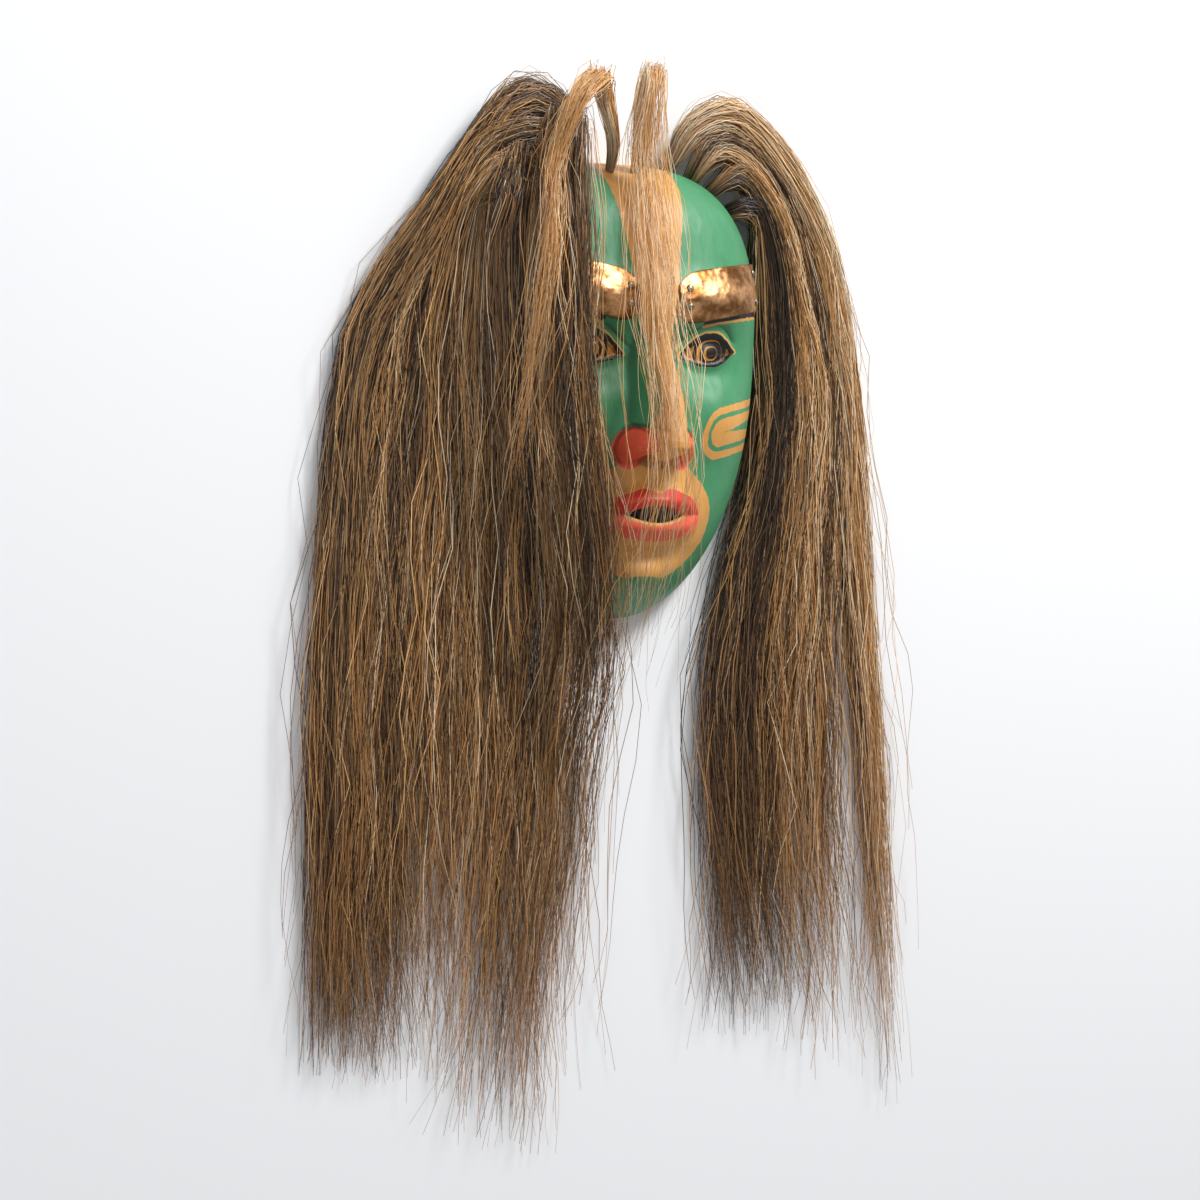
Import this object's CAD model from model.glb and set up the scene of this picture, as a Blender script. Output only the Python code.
"""Carved and painted wooden face mask with hammered copper brow plates and long horsehair.

The mask lies face up on its back rim: +Z out of the face, +Y to the forehead, +X to the viewer's
right. Sizes in the classes are millimetres from the middle of the face; meshes are metres.
"""

import logging
import math
from dataclasses import dataclass
from enum import Enum

import bpy
import numpy as np
from mathutils import Matrix, Vector


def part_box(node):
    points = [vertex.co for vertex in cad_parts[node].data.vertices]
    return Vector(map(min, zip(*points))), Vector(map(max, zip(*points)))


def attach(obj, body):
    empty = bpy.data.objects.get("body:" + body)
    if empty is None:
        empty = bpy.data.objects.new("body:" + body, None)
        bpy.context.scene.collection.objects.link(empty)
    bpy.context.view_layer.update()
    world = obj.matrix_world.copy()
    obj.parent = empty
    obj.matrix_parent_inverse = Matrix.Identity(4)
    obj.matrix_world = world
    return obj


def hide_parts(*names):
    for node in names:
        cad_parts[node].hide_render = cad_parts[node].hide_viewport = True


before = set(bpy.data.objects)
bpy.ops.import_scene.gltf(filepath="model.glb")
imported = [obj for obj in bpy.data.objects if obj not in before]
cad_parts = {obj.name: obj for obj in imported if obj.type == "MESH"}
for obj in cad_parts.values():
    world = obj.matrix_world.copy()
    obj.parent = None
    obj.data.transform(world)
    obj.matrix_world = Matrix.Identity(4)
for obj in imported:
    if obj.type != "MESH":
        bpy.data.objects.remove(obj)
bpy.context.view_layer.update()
LOG = logging.getLogger("mask")
MILLIMETRE = 0.001


class Side(Enum):
    """The viewer's left or right half of the face."""

    LEFT = -1
    RIGHT = 1


class Fall(Enum):
    """Which way a lock of hair falls from its crest."""

    ASIDE = "beside the face"
    FORWARD = "over the face"


def smooth(low: float, high: float, value: np.ndarray) -> np.ndarray:
    """Eases from 0 at low to 1 at high.

    Args:
        low: Value where the rise starts.
        high: Value where it ends, above low.
        value: Values to ease.

    Returns:
        The eased shares.
    """
    share = np.clip((value - low) / (high - low), 0.0, 1.0)
    return share * share * (3.0 - 2.0 * share)


def mound(x: np.ndarray, y: np.ndarray, at: tuple[float, float], radii: tuple[float, float]) -> np.ndarray:
    """Bell of height 1 over a place.

    Args:
        x: Places across.
        y: Places along.
        at: Middle of the bell.
        radii: Its reach across and along.

    Returns:
        Height of the bell at each place.
    """
    return np.exp(-(((x - at[0]) / radii[0]) ** 2) - ((y - at[1]) / radii[1]) ** 2)


def lerp(start: np.ndarray, end: np.ndarray, share: np.ndarray) -> np.ndarray:
    """Value part of the way from start to end."""
    return start + (end - start) * share


@dataclass(frozen=True)
class Carving:
    """Sizes of the carved face and the height of its surface at any place."""

    width: float = 176.0
    height: float = 272.0
    depth: float = 62.0
    wall: float = 9.0
    nose_height: float = 33.0
    crown_power: float = 2.9
    jaw_power: float = 2.0
    crown_fullness: float = 4.4
    jaw_fullness: float = 2.8
    lid_half: float = 17.5
    lid_rise: float = 8.5
    lid_drop: float = 6.0

    @property
    def half(self) -> float:
        """Half of the face's width."""
        return self.width / 2

    @property
    def crown(self) -> float:
        """Y of the top edge; the chin is as far below."""
        return self.height / 2

    @property
    def widest(self) -> float:
        """Y where the outline is widest."""
        return 0.08 * self.height

    @property
    def brow(self) -> float:
        """Y of the brow, a third of the height down."""
        return self.crown - self.height / 3

    @property
    def nose(self) -> float:
        """Y of the nose's base, two thirds down."""
        return self.brow - self.height / 3

    @property
    def mouth(self) -> float:
        """Y of the line between the lips."""
        return self.nose - self.height / 9

    @property
    def mouth_half(self) -> float:
        """Half of the mouth's width."""
        return self.width / 5 - 5

    @property
    def eye(self) -> tuple[float, float]:
        """X and Y of an eye: five eye widths across, a little above the middle."""
        return self.width / 5, -self.crown + self.height * 4 / 7

    def gauge(self, x: np.ndarray, y: np.ndarray, wall: float = 0.0) -> np.ndarray:
        """Share of the way out to the rim.

        Args:
            x: Places across.
            y: Places along.
            wall: How far in the rim is moved.

        Returns:
            0 in the middle and 1 on the rim.
        """
        above = y > self.widest
        power = np.where(above, self.crown_power, self.jaw_power)
        reach = np.where(above, self.crown - self.widest, self.widest + self.crown) - wall
        across = np.abs(x) / (self.half - wall)
        return (across**power + (np.abs(y - self.widest) / reach) ** power) ** (1 / power)

    def shell(self, x: np.ndarray, y: np.ndarray, wall: float = 0.0) -> np.ndarray:
        """Height of the plain shell without features.

        Args:
            x: Places across.
            y: Places along.
            wall: How far inside the outer surface.

        Returns:
            Height above the back rim.
        """
        fullness = lerp(self.jaw_fullness, self.crown_fullness, smooth(-20, 110, y))
        inside = 1 - self.gauge(x, y, wall) ** fullness
        return (self.depth - wall) * np.sqrt(np.maximum(0, inside))

    def nose_relief(self, side: np.ndarray, y: np.ndarray) -> np.ndarray:
        """Height of the nose: ridge, flanks and wings, cut away below.

        Args:
            side: Distances from the middle line.
            y: Places along.

        Returns:
            Height over the shell.
        """
        tip = self.nose + 10
        bridge = np.clip((self.brow + 2 - y) / (self.brow + 2 - tip), 0, 1)
        underside = smooth(self.nose - 3, self.nose + 7, y)
        ridge = (0.16 + 0.84 * bridge**0.9) * self.nose_height
        ridge = ridge * (1 - smooth(self.brow - 8, self.brow + 24, y))
        half = 7 + 7 * bridge
        share = np.clip((side - 0.3 * half) / (1.3 * half), 0, 1)
        flank = 1 - share * share * (3 - 2 * share)
        wing = 15 * mound(side, y, (14.5, self.nose + 9), (8, 9))
        return np.maximum(ridge * flank, 0.55 * ridge * flank + wing) * underside

    def lip_taper(self, x: np.ndarray) -> np.ndarray:
        """Fullness of the lips: 1 in the middle and 0 at the corners."""
        return np.sqrt(np.maximum(0, 1 - (x / (self.mouth_half + 3)) ** 2))

    def mouth_relief(self, x: np.ndarray, y: np.ndarray) -> np.ndarray:
        """Height of the muzzle with an upper and a lower lip on it.

        Args:
            x: Places across.
            y: Places along.

        Returns:
            Height over the shell.
        """
        taper = self.lip_taper(x)
        upper = mound(0, y, (0, self.mouth + 8 * taper), (1, 6))
        lower = mound(0, y, (0, self.mouth - 9 * taper), (1, 7))
        return 9 * mound(x, y, (0, self.mouth), (36, 24)) + 6.5 * taper * np.maximum(upper, lower)

    def relief(self, x: np.ndarray, y: np.ndarray) -> np.ndarray:
        """Height of the main features over the plain shell.

        Args:
            x: Places across.
            y: Places along.

        Returns:
            Height that fades out towards the rim.
        """
        side = np.abs(x)
        eye_x, eye_y = self.eye
        total = 7 * mound(side, y, (36, self.brow + 4), (38, 15))
        total -= 13 * mound(side, y, (eye_x - 4, eye_y - 1), (26, 16))
        total += 10 * mound(side, y, (eye_x + 1, eye_y), (15, 9))
        total += 6 * mound(side, y, (50, self.nose + 26), (20, 20))
        total -= 4 * mound(side, y, (31, self.nose - 8), (8, 20))
        total += 12 * mound(x, y, (0, 20 - self.crown), (22, 13))
        total -= 4 * mound(x, y, (0, self.mouth - 22), (22, 6))
        total += self.nose_relief(side, y) + self.mouth_relief(x, y)
        return total * (1 - smooth(0.8, 1, self.gauge(x, y)))

    def eye_place(self, x: np.ndarray, y: np.ndarray) -> tuple[np.ndarray, np.ndarray]:
        """Place seen from the middle of the nearer eye, outwards and up, with the eye's tilt."""
        outwards = np.abs(x) - self.eye[0] - 1
        return outwards, y - self.eye[1] - 0.1 * outwards

    def lid_distance(self, x: np.ndarray, y: np.ndarray) -> np.ndarray:
        """Distance from the lids' edge.

        Args:
            x: Places across.
            y: Places along.

        Returns:
            Negative inside the eye opening.
        """
        outwards, up = self.eye_place(x, y)
        share = np.clip(np.abs(outwards) / self.lid_half, 0, 1)
        lean = 0.22 * outwards / self.lid_half
        rise = self.lid_rise * (1 - share**2) * (1 + lean)
        drop = self.lid_drop * (1 - share**2) * (1 + 1.6 * lean)
        beyond = np.maximum(np.abs(outwards) - self.lid_half, 0)
        return np.maximum(up - rise, -drop - up) + 0.9 * beyond

    def lip_distance(self, x: np.ndarray, y: np.ndarray) -> tuple[np.ndarray, np.ndarray]:
        """Distances from the edges of the upper and the lower lip, negative inside.

        Args:
            x: Places across.
            y: Places along.

        Returns:
            Distance from the upper lip and distance from the lower lip.
        """
        taper = self.lip_taper(x)
        bow = 2.4 * np.exp(-((x / 4.5) ** 2)) - 1.2 * np.exp(-(((np.abs(x) - 9) / 5) ** 2))
        top = self.mouth + 14.5 * taper - bow * taper
        bottom = self.mouth - 15.5 * taper
        parting = self.mouth + 0.3
        beyond = np.maximum(np.abs(x) - self.mouth_half - 3, 0)
        upper = np.maximum(y - top, parting - y) * 0.8 + beyond
        lower = np.maximum(bottom - y, y - parting) * 0.8 + beyond
        return upper, lower

    def detail(self, x: np.ndarray, y: np.ndarray) -> np.ndarray:
        """Height of the crisp cuts: lids, lip edges, nostrils, folds.

        Args:
            x: Places across.
            y: Places along.

        Returns:
            Height over the main features.
        """
        side = np.abs(x)
        outwards, up = self.eye_place(x, y)
        lid = self.lid_distance(x, y)
        opened = smooth(-1.4, 0.2, lid)
        within = 1 - smooth(29, 34, side)
        cut = 1.5 * (opened - 1) + 0.9 * np.exp(-(((lid - 1.5) / 1.5) ** 2))
        crease = np.exp(-(((lid - 8.5) / 1.7) ** 2)) * smooth(2, 7, up)
        cut -= 1.6 * crease * (1 - smooth(17, 26, np.abs(outwards)))
        upper, lower = self.lip_distance(x, y)
        for edge in (upper, lower):
            cut += 0.9 * np.exp(-(((edge - 0.3) / 1.1) ** 2)) * within
        parting = np.exp(-(((y - self.mouth - 0.3) / 1.5) ** 2))
        cut -= 2.2 * parting * within
        cut -= 1.6 * mound(x, y, (0, self.nose - 9), (3.4, 7))
        wing = np.sqrt(((side - 14.5) / 9.5) ** 2 + ((y - self.nose - 8) / 11) ** 2)
        groove = np.exp(-(((wing - 1.12) / 0.13) ** 2)) * smooth(11, 15, side + 0.5 * (y - self.nose))
        cut -= 1.8 * groove * smooth(self.nose - 4, self.nose + 2, y)
        cut -= 9 * mound(side, y, (8.5, self.nose + 1.8), (3.8, 2.6))
        fold = side - 27 - 0.16 * (self.nose - y)
        along = smooth(self.mouth - 6, self.mouth + 8, y) * (1 - smooth(self.nose - 2, self.nose + 12, y))
        cut -= 1.5 * np.exp(-((fold / 2.4) ** 2)) * along
        return cut * (1 - smooth(0.86, 1, self.gauge(x, y)))

    def outer(self, x: np.ndarray, y: np.ndarray) -> np.ndarray:
        """Height of the face with its main features."""
        return self.shell(x, y) + self.relief(x, y)

    def inner(self, x: np.ndarray, y: np.ndarray) -> np.ndarray:
        """Height of the hollow behind the face."""
        carved = self.relief(x, y)
        return np.maximum(0, self.shell(x, y, self.wall) + np.where(carved < 0, carved, 0.55 * carved))

    def rim_reach(self, dx: np.ndarray, dy: np.ndarray, pole: float, wall: float) -> np.ndarray:
        """Distances from the pole to the rim in several directions, by halving.

        Args:
            dx: Directions across.
            dy: Directions along.
            pole: Y of the place that they start from.
            wall: How far in the rim is moved.

        Returns:
            One distance for each direction.
        """
        near = np.zeros_like(dx)
        far = np.full_like(dx, self.height)
        for _ in range(40):
            middle = (near + far) / 2
            short = self.gauge(middle * dx, pole + middle * dy, wall) < 1
            near = np.where(short, middle, near)
            far = np.where(short, far, middle)
        return near

    def normal(self, x: np.ndarray, y: np.ndarray) -> np.ndarray:
        """Outward unit vectors of the face.

        Args:
            x: Places across.
            y: Places along.

        Returns:
            Rows of unit vectors.
        """
        step = 1.5
        slope_x = (self.outer(x + step, y) - self.outer(x - step, y)) / (2 * step)
        slope_y = (self.outer(x, y + step) - self.outer(x, y - step)) / (2 * step)
        flat = np.stack([-slope_x, -slope_y, np.ones_like(slope_x)], axis=-1)
        return flat / np.linalg.norm(flat, axis=-1, keepdims=True)


def deselect() -> None:
    """Leaves nothing selected, so that an operator acts on the new primitive alone."""
    if bpy.context.object and bpy.context.object.mode != "OBJECT":
        bpy.ops.object.mode_set(mode="OBJECT")
    bpy.ops.object.select_all(action="DESELECT")


def read_points(piece: bpy.types.Object) -> np.ndarray:
    """Vertex places of a mesh as rows.

    Args:
        piece: The mesh object.

    Returns:
        One row of X, Y and Z for each vertex.
    """
    flat = np.empty(len(piece.data.vertices) * 3, np.float32)
    piece.data.vertices.foreach_get("co", flat)
    return flat.reshape(-1, 3).astype(float)


def write_points(piece: bpy.types.Object, places: np.ndarray) -> None:
    """Moves the vertices of a mesh to rows of places."""
    piece.data.vertices.foreach_set("co", places.astype(np.float32).ravel())
    piece.data.update()


def store(piece: bpy.types.Object, name: str, values: np.ndarray) -> None:
    """Keeps one number per vertex under a name that a finish reads."""
    layer = piece.data.attributes.new(name, "FLOAT", "POINT")
    layer.data.foreach_set("value", values.astype(np.float32))


def apply_modifier(piece: bpy.types.Object, kind: str, **settings: object) -> None:
    """Adds a modifier and applies it.

    Args:
        piece: The mesh object, which is made active.
        kind: Blender's modifier type.
        **settings: Its properties.
    """
    bpy.context.view_layer.objects.active = piece
    modifier = piece.modifiers.new(kind.lower(), kind)
    for key, value in settings.items():
        setattr(modifier, key, value)
    bpy.ops.object.modifier_apply(modifier=modifier.name)


def smooth_shade(piece: bpy.types.Object, degrees: float) -> None:
    """Shades a piece smooth, except at its sharp edges.

    Args:
        piece: The mesh object.
        degrees: Angle between faces past which an edge stays sharp.
    """
    deselect()
    piece.select_set(True)
    bpy.context.view_layer.objects.active = piece
    bpy.ops.object.shade_smooth_by_angle(angle=math.radians(degrees))


class Graph:
    """Shader nodes of one finish, with short calls to add and link them."""

    def __init__(self, name: str) -> None:
        """Makes a material with a Principled shader.

        Args:
            name: Name of the material.
        """
        self.material = bpy.data.materials.new(name)
        self.material.use_nodes = True
        self.nodes = self.material.node_tree.nodes
        self.links = self.material.node_tree.links
        self.shader = self.nodes["Principled BSDF"]

    def feed(self, socket: bpy.types.NodeSocket, value: object) -> None:
        """Links a socket to another one, or sets its own value.

        Args:
            socket: Input socket.
            value: Output socket that feeds it, or a plain value.
        """
        if isinstance(value, bpy.types.NodeSocket):
            self.links.new(value, socket)
        else:
            socket.default_value = value

    def add(self, kind: str, inputs: dict[object, object], **settings: object) -> bpy.types.Node:
        """Adds a node.

        Args:
            kind: Node type without its ShaderNode prefix.
            inputs: Socket name or number to its value or source.
            **settings: Node properties.

        Returns:
            The new node.
        """
        made = self.nodes.new("ShaderNode" + kind)
        for key, value in settings.items():
            setattr(made, key, value)
        for key, value in inputs.items():
            self.feed(made.inputs[key], value)
        return made

    def surface(self, **inputs: object) -> None:
        """Sets the Principled shader's sockets, with underscores for the spaces of their names."""
        for key, value in inputs.items():
            self.feed(self.shader.inputs[key.replace("_", " ")], value)

    def place(self, stretch: tuple[float, float, float] = (1, 1, 1)) -> bpy.types.NodeSocket:
        """Object coordinates, scaled along each axis."""
        source = self.add("TexCoord", {}).outputs["Object"]
        return self.add("Mapping", {"Vector": source, "Scale": stretch}).outputs["Vector"]

    def value(self, name: str) -> bpy.types.NodeSocket:
        """A number kept on the mesh."""
        return self.add("Attribute", {}, attribute_name=name).outputs["Fac"]

    def noise(self, vector: bpy.types.NodeSocket, scale: float, detail: float = 2.0) -> bpy.types.NodeSocket:
        """Cloudy pattern from 0 to 1."""
        return self.add("TexNoise", {"Vector": vector, "Scale": scale, "Detail": detail}).outputs["Fac"]

    def cells(self, vector: bpy.types.NodeSocket, scale: float) -> bpy.types.NodeSocket:
        """Distance to the nearest of scattered points, for tool marks."""
        inputs = {"Vector": vector, "Scale": scale, "Smoothness": 0.35}
        return self.add("TexVoronoi", inputs, feature="SMOOTH_F1").outputs["Distance"]

    def maths(self, operation: str, first: object, second: object = 0.0) -> bpy.types.NodeSocket:
        """Sum, product or other operation on two numbers."""
        return self.add("Math", {0: first, 1: second}, operation=operation).outputs[0]

    def step(self, value: object, low: float, high: float) -> bpy.types.NodeSocket:
        """Eased step from 0 at low to 1 at high; low may be above high."""
        inputs = {"Value": value, "From Min": low, "From Max": high}
        return self.add("MapRange", inputs, interpolation_type="SMOOTHSTEP").outputs["Result"]

    def span(self, value: object, low: float, high: float) -> bpy.types.NodeSocket:
        """Spreads a 0 to 1 pattern evenly from low to high."""
        return self.add("MapRange", {"Value": value, "To Min": low, "To Max": high}).outputs["Result"]

    def blend(self, share: object, under: object, over: object) -> bpy.types.NodeSocket:
        """Colour over another one by a share."""
        return self.add("Mix", {0: share, 6: under, 7: over}, data_type="RGBA").outputs[2]

    def shade(self, colour: object, factor: object) -> bpy.types.NodeSocket:
        """Colour made darker or lighter by a number.

        Args:
            colour: Colour to change.
            factor: Number the colour is multiplied by.

        Returns:
            Socket of the new colour.
        """
        grey = self.add("CombineColor", {0: factor, 1: factor, 2: factor}).outputs[0]
        inputs = {0: 1.0, 6: colour, 7: grey}
        return self.add("Mix", inputs, data_type="RGBA", blend_type="MULTIPLY").outputs[2]

    def bump(self, height: object, strength: float, distance: float,
             under: object = None) -> bpy.types.NodeSocket:
        """Small relief, over another relief where one is given.

        Args:
            height: Pattern of the relief.
            strength: Share of it that shows.
            distance: Its depth in metres.
            under: Relief that it lies on.

        Returns:
            The shader's normal.
        """
        inputs = {"Height": height, "Strength": strength, "Distance": distance}
        if under is not None:
            inputs["Normal"] = under
        return self.add("Bump", inputs).outputs["Normal"]


def paint_colour(red: int, green: int, blue: int) -> tuple[float, float, float, float]:
    """Linear colour of a paint named by its screen values from 0 to 255."""
    linear = [((c / 255 + 0.055) / 1.055) ** 2.4 if c > 10 else c / 255 / 12.92 for c in (red, green, blue)]
    return (linear[0], linear[1], linear[2], 1.0)


@dataclass(frozen=True)
class MaskPaint:
    """Finish of the mask: flat colours brushed on carved wood, a little worn, and bare wood behind."""

    green: tuple = paint_colour(72, 146, 100)
    ochre: tuple = paint_colour(220, 160, 84)
    eye_ochre: tuple = paint_colour(206, 140, 58)
    coral: tuple = paint_colour(240, 96, 68)
    red: tuple = paint_colour(214, 60, 42)
    black: tuple = paint_colour(22, 20, 19)
    wood: tuple = paint_colour(150, 104, 66)
    dark_wood: tuple = paint_colour(96, 62, 38)
    grime: tuple = paint_colour(38, 34, 22)
    squareness: float = 2.4
    unsteady: float = 0.9
    soft: float = 0.22

    def material(self) -> bpy.types.Material:
        """Builds the finish.

        Returns:
            The material, which reads the distances kept on the mask's mesh.
        """
        graph = Graph("mask_paint")
        place = graph.place()
        drift = graph.span(graph.noise(place, 230, 2.0), -self.unsteady, self.unsteady)
        areas = [
            ("muzzle", None, 0.0, self.ochre),
            ("chin", None, 0.0, self.green),
            ("cheek", None, 0.0, self.ochre),
            ("stripe", None, 0.0, self.ochre),
            ("brow_line", -0.5, 2.4, self.black),
            ("brow_line", 2.4, 4.0, self.ochre),
            ("wing", None, 0.0, self.coral),
            ("upper_lip", None, 0.0, self.red),
            ("lower_lip", None, 0.0, self.coral),
            ("lip_line", 0.0, 1.9, self.ochre),
            ("lid", None, 0.0, self.eye_ochre),
        ]
        eye_lines = [
            ("lid", -0.5, 1.7, self.black),
            ("upper_lid", 0.6, 3.4, self.black),
            ("upper_lid", 3.6, 4.9, self.ochre),
        ]
        colour = self.brushed(graph, self.green, drift, areas)
        colour = self.iris(graph, colour, drift)
        colour = self.brushed(graph, colour, drift, eye_lines)

        streak = graph.noise(graph.place((1, 0.18, 1)), 700, 3.0)
        cloud = graph.noise(place, 60, 3.0)
        colour = graph.shade(colour, graph.span(streak, 0.86, 1.12))
        colour = graph.shade(colour, graph.span(cloud, 0.84, 1.14))
        hollow = graph.value("hollow")
        grime = graph.span(graph.step(hollow, 0.15, 1.6), 0.0, 0.62)
        colour = graph.blend(grime, colour, self.grime)
        rubbed = graph.step(graph.noise(place, 520, 3.0), 0.5, 0.66)
        worn = graph.maths("MULTIPLY", graph.step(hollow, -0.9, -2.2), rubbed)
        colour = graph.blend(graph.span(worn, 0.0, 0.55), colour, self.ochre)
        flaked = graph.step(graph.noise(place, 300, 4.0), 0.52, 0.6)
        chips = graph.maths("MULTIPLY", graph.value("edge"), flaked)
        grain = graph.noise(graph.place((1, 0.06, 0.4)), 900, 4.0)
        timber = graph.blend(grain, self.dark_wood, self.wood)
        bare = graph.maths("MAXIMUM", graph.value("bare"), chips)
        colour = graph.blend(bare, colour, timber)
        graph.surface(Base_Color=colour, Roughness=graph.span(cloud, 0.36, 0.56), Specular_IOR_Level=0.45)
        facets = graph.bump(graph.cells(graph.place((1, 0.5, 1)), 130), 0.35, 0.0012)
        strokes = graph.bump(streak, 0.3, 0.00035, facets)
        graph.surface(Normal=graph.bump(grain, 0.25, 0.0003, strokes))
        return graph.material

    def brushed(self, graph: Graph, colour: object, drift: object, areas: list) -> bpy.types.NodeSocket:
        """Paints areas over each other, each where the distance kept under its name is within limits.

        Args:
            graph: Node helper of the finish.
            colour: Colour under the paint.
            drift: Unsteadiness of the painted edges, in millimetres.
            areas: Name, inner limit or None, outer limit and paint of each area.

        Returns:
            The colour with the areas painted on it.
        """
        for name, low, high, paint in areas:
            moved = graph.maths("ADD", graph.value(name), drift)
            share = graph.step(moved, high + self.soft, high - self.soft)
            if low is not None:
                above = graph.step(moved, low - self.soft, low + self.soft)
                share = graph.maths("MULTIPLY", share, above)
            colour = graph.blend(share, colour, paint)
        return colour

    def iris(self, graph: Graph, colour: object, drift: object) -> bpy.types.NodeSocket:
        """Paints nested discs, each a little off the last, so that crescents show between them.

        Args:
            graph: Node helper of the finish.
            colour: Colour under the discs.
            drift: Unsteadiness of the painted edges, in millimetres.

        Returns:
            The colour with the discs painted inside the lids.
        """
        across = graph.value("eye_out")
        up = graph.value("eye_up")
        within = graph.step(graph.value("lid"), 0.2, -0.2)
        discs = [
            (3.0, 0.6, 10.4, self.black),
            (2.2, 0.2, 7.9, self.eye_ochre),
            (3.2, 0.5, 6.9, self.black),
            (2.4, 0.2, 4.3, self.eye_ochre),
            (3.1, 0.4, 3.5, self.black),
        ]
        for at, height, radius, tint in discs:
            aside = graph.maths("MULTIPLY", graph.maths("SUBTRACT", across, at), 0.9)
            above = graph.maths("SUBTRACT", up, height)
            raised = [graph.maths("POWER", graph.maths("ABSOLUTE", gap), self.squareness)
                      for gap in (aside, above)]
            radial = graph.maths("POWER", graph.maths("ADD", *raised), 1 / self.squareness)
            distance = graph.maths("ADD", radial, graph.maths("MULTIPLY", drift, 0.4))
            disc = graph.step(distance, radius + 0.2, radius - 0.2)
            colour = graph.blend(graph.maths("MULTIPLY", disc, within), colour, tint)
        return colour


@dataclass(frozen=True)
class HammeredCopper:
    """Finish of the brow plates: beaten copper, browned in the dents and rubbed bright on the ridges."""

    bright: tuple = paint_colour(226, 174, 122)
    brown: tuple = paint_colour(138, 90, 48)
    dark: tuple = paint_colour(62, 39, 21)

    def material(self) -> bpy.types.Material:
        """Builds the finish.

        Returns:
            The material, darker where the mesh keeps an edge.
        """
        graph = Graph("hammered_copper")
        place = graph.place()
        cloud = graph.noise(place, 90, 4.0)
        speck = graph.noise(place, 900, 3.0)
        colour = graph.blend(graph.step(cloud, 0.36, 0.64), self.brown, self.bright)
        colour = graph.blend(graph.span(graph.step(speck, 0.5, 0.72), 0.0, 0.45), colour, self.dark)
        colour = graph.blend(graph.span(graph.value("edge"), 0.0, 0.7), colour, self.dark)
        scratch = graph.noise(graph.place((0.25, 1, 1)), 1600, 2.0)
        roughness = graph.maths("ADD", graph.span(cloud, 0.3, 0.5), graph.span(scratch, -0.06, 0.1))
        graph.surface(Base_Color=colour, Metallic=1.0, Roughness=roughness)
        dents = graph.bump(graph.cells(place, 260), 0.4, 0.0006)
        graph.surface(Normal=graph.bump(scratch, 0.15, 0.0001, dents))
        return graph.material


@dataclass(frozen=True)
class DullBrass:
    """Finish of the nails: pale worn metal, dark round the edge."""

    pale: tuple = paint_colour(196, 184, 160)
    dark: tuple = paint_colour(70, 58, 44)

    def material(self) -> bpy.types.Material:
        """Builds the finish.

        Returns:
            The material.
        """
        graph = Graph("dull_brass")
        place = graph.place()
        colour = graph.blend(graph.step(graph.noise(place, 1400, 3.0), 0.42, 0.62), self.pale, self.dark)
        colour = graph.blend(graph.value("edge"), colour, self.dark)
        roughness = graph.span(graph.noise(place, 2600, 2.0), 0.3, 0.5)
        graph.surface(Base_Color=colour, Metallic=1.0, Roughness=roughness)
        return graph.material


@dataclass(frozen=True)
class Horsehair:
    """Finish of the hair: the tone of each strand runs across its UV map and root to tip along it."""

    name: str = "horsehair"
    tips: tuple = paint_colour(180, 124, 64)
    streaks: tuple = (64, 8, 1)
    root_shade: float = 0.4
    root_share: float = 0.28
    tones: tuple = (
        (0.00, paint_colour(28, 19, 13)),
        (0.20, paint_colour(64, 46, 31)),
        (0.38, paint_colour(112, 80, 50)),
        (0.52, paint_colour(162, 128, 88)),
        (0.66, paint_colour(204, 156, 98)),
        (0.80, paint_colour(232, 164, 90)),
        (0.92, paint_colour(250, 206, 142)),
        (1.00, paint_colour(252, 236, 208)),
    )

    def material(self) -> bpy.types.Material:
        """Builds the finish.

        Returns:
            The material.
        """
        graph = Graph(self.name)
        layout = graph.add("UVMap", {}, uv_map="OFBake").outputs["UV"]
        split = graph.add("SeparateXYZ", {0: layout})
        tone, along = split.outputs[0], split.outputs[1]
        ramp = graph.add("ValToRGB", {0: tone})
        stops = ramp.color_ramp.elements
        while len(stops) < len(self.tones):
            stops.new(0.5)
        for stop, (position, colour) in zip(stops, self.tones):
            stop.position = position
            stop.color = colour
        stretched = graph.add("Mapping", {"Vector": layout, "Scale": self.streaks}).outputs["Vector"]
        patch = graph.noise(stretched, 1.0, 3.0)
        colour = graph.shade(ramp.outputs["Color"], graph.span(patch, 0.5, 1.5))
        from_root = graph.step(along, 0.0, self.root_share)
        colour = graph.shade(colour, graph.span(from_root, self.root_shade, 1.0))
        paler = graph.span(graph.step(tone, 0.1, 0.5), 0.2, 0.6)
        warm = graph.maths("MULTIPLY", graph.step(along, 0.55, 1.0), paler)
        colour = graph.blend(warm, colour, self.tips)
        graph.surface(Base_Color=colour, Roughness=graph.span(patch, 0.3, 0.46), Specular_IOR_Level=0.8)
        return graph.material


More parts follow.
